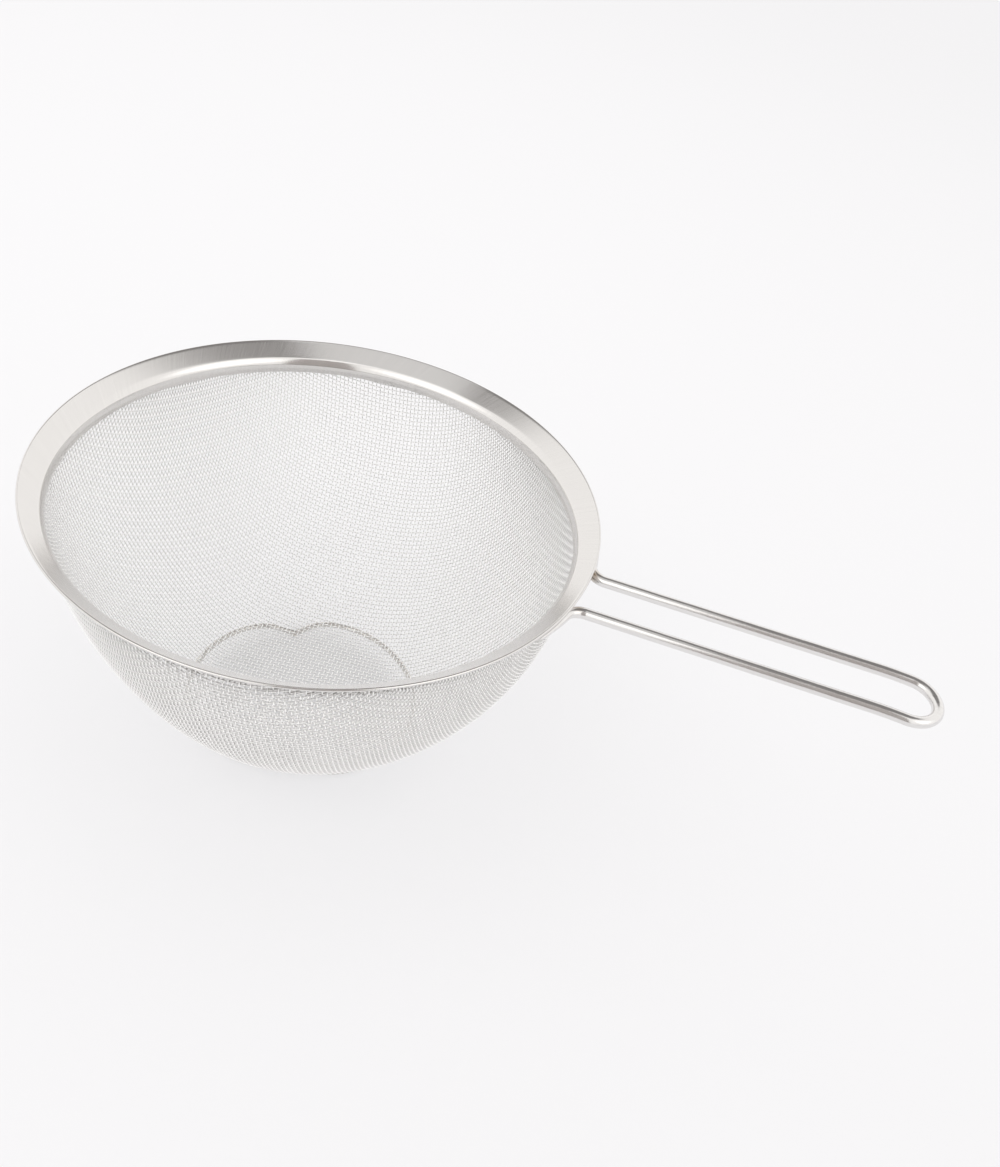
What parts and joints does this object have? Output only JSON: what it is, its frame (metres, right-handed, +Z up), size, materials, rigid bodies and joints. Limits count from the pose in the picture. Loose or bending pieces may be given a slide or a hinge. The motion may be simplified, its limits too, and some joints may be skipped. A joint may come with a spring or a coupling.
{
  "type": "mesh colander",
  "caption": "Deep round colander of woven stainless wire with a sloping pressed-sheet rim, a long wire loop handle and a kinked wire foot ring.",
  "frame": {"origin": "on the surface it stands on, below the middle of its overall length and width", "axes": "+X from the bowl towards the end of the handle, +Z up out of the bowl's mouth"},
  "size_m": [0.321, 0.2, 0.1082],
  "materials": {
    "rim_sheet": "satin pressed stainless sheet with fine brushing round the ring",
    "mesh_wire": "fine bright stainless wire in a plain weave",
    "handle_wire": "bright drawn stainless wire",
    "foot_wire": "bright drawn stainless wire",
    "weld": "weld metal with a slight heat tint"
  },
  "bodies": {
    "root": {"rim": "rim_sheet", "mesh_bowl": "mesh_wire", "handle": "handle_wire", "foot_ring": "foot_wire", "handle_weld_near": "weld", "handle_weld_far": "weld", "foot_weld_back": "weld", "foot_weld_front": "weld"}
  },
  "joints": []
}
